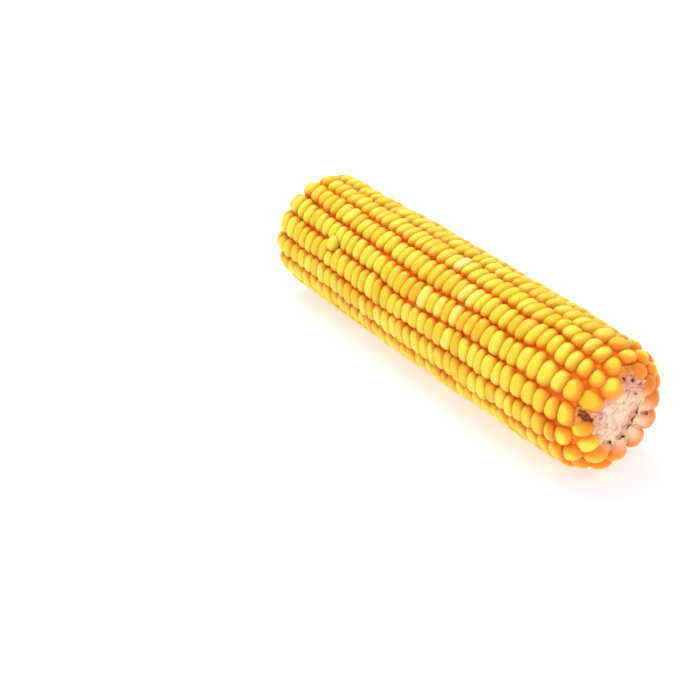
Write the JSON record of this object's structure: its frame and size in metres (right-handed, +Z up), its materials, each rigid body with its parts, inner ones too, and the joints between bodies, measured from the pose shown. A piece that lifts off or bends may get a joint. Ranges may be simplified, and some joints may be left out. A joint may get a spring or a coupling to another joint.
{
  "type": "dried ear of corn",
  "caption": "Husked ear of dried yellow dent corn lying on its side, its rows of kernels closing over a blunt tip and curling round the pale cob at the butt end.",
  "frame": {"origin": "on the surface the ear lies on, under the middle of its bounding box", "axes": "+X along the ear from its tip to its butt end, +Y to the back, +Z up"},
  "size_m": [0.1737, 0.0485, 0.0476],
  "materials": {
    "kernel": "satin",
    "cob_pith": "matte"
  },
  "bodies": {
    "root": {"kernels": "kernel", "cob": "cob_pith"}
  },
  "joints": []
}
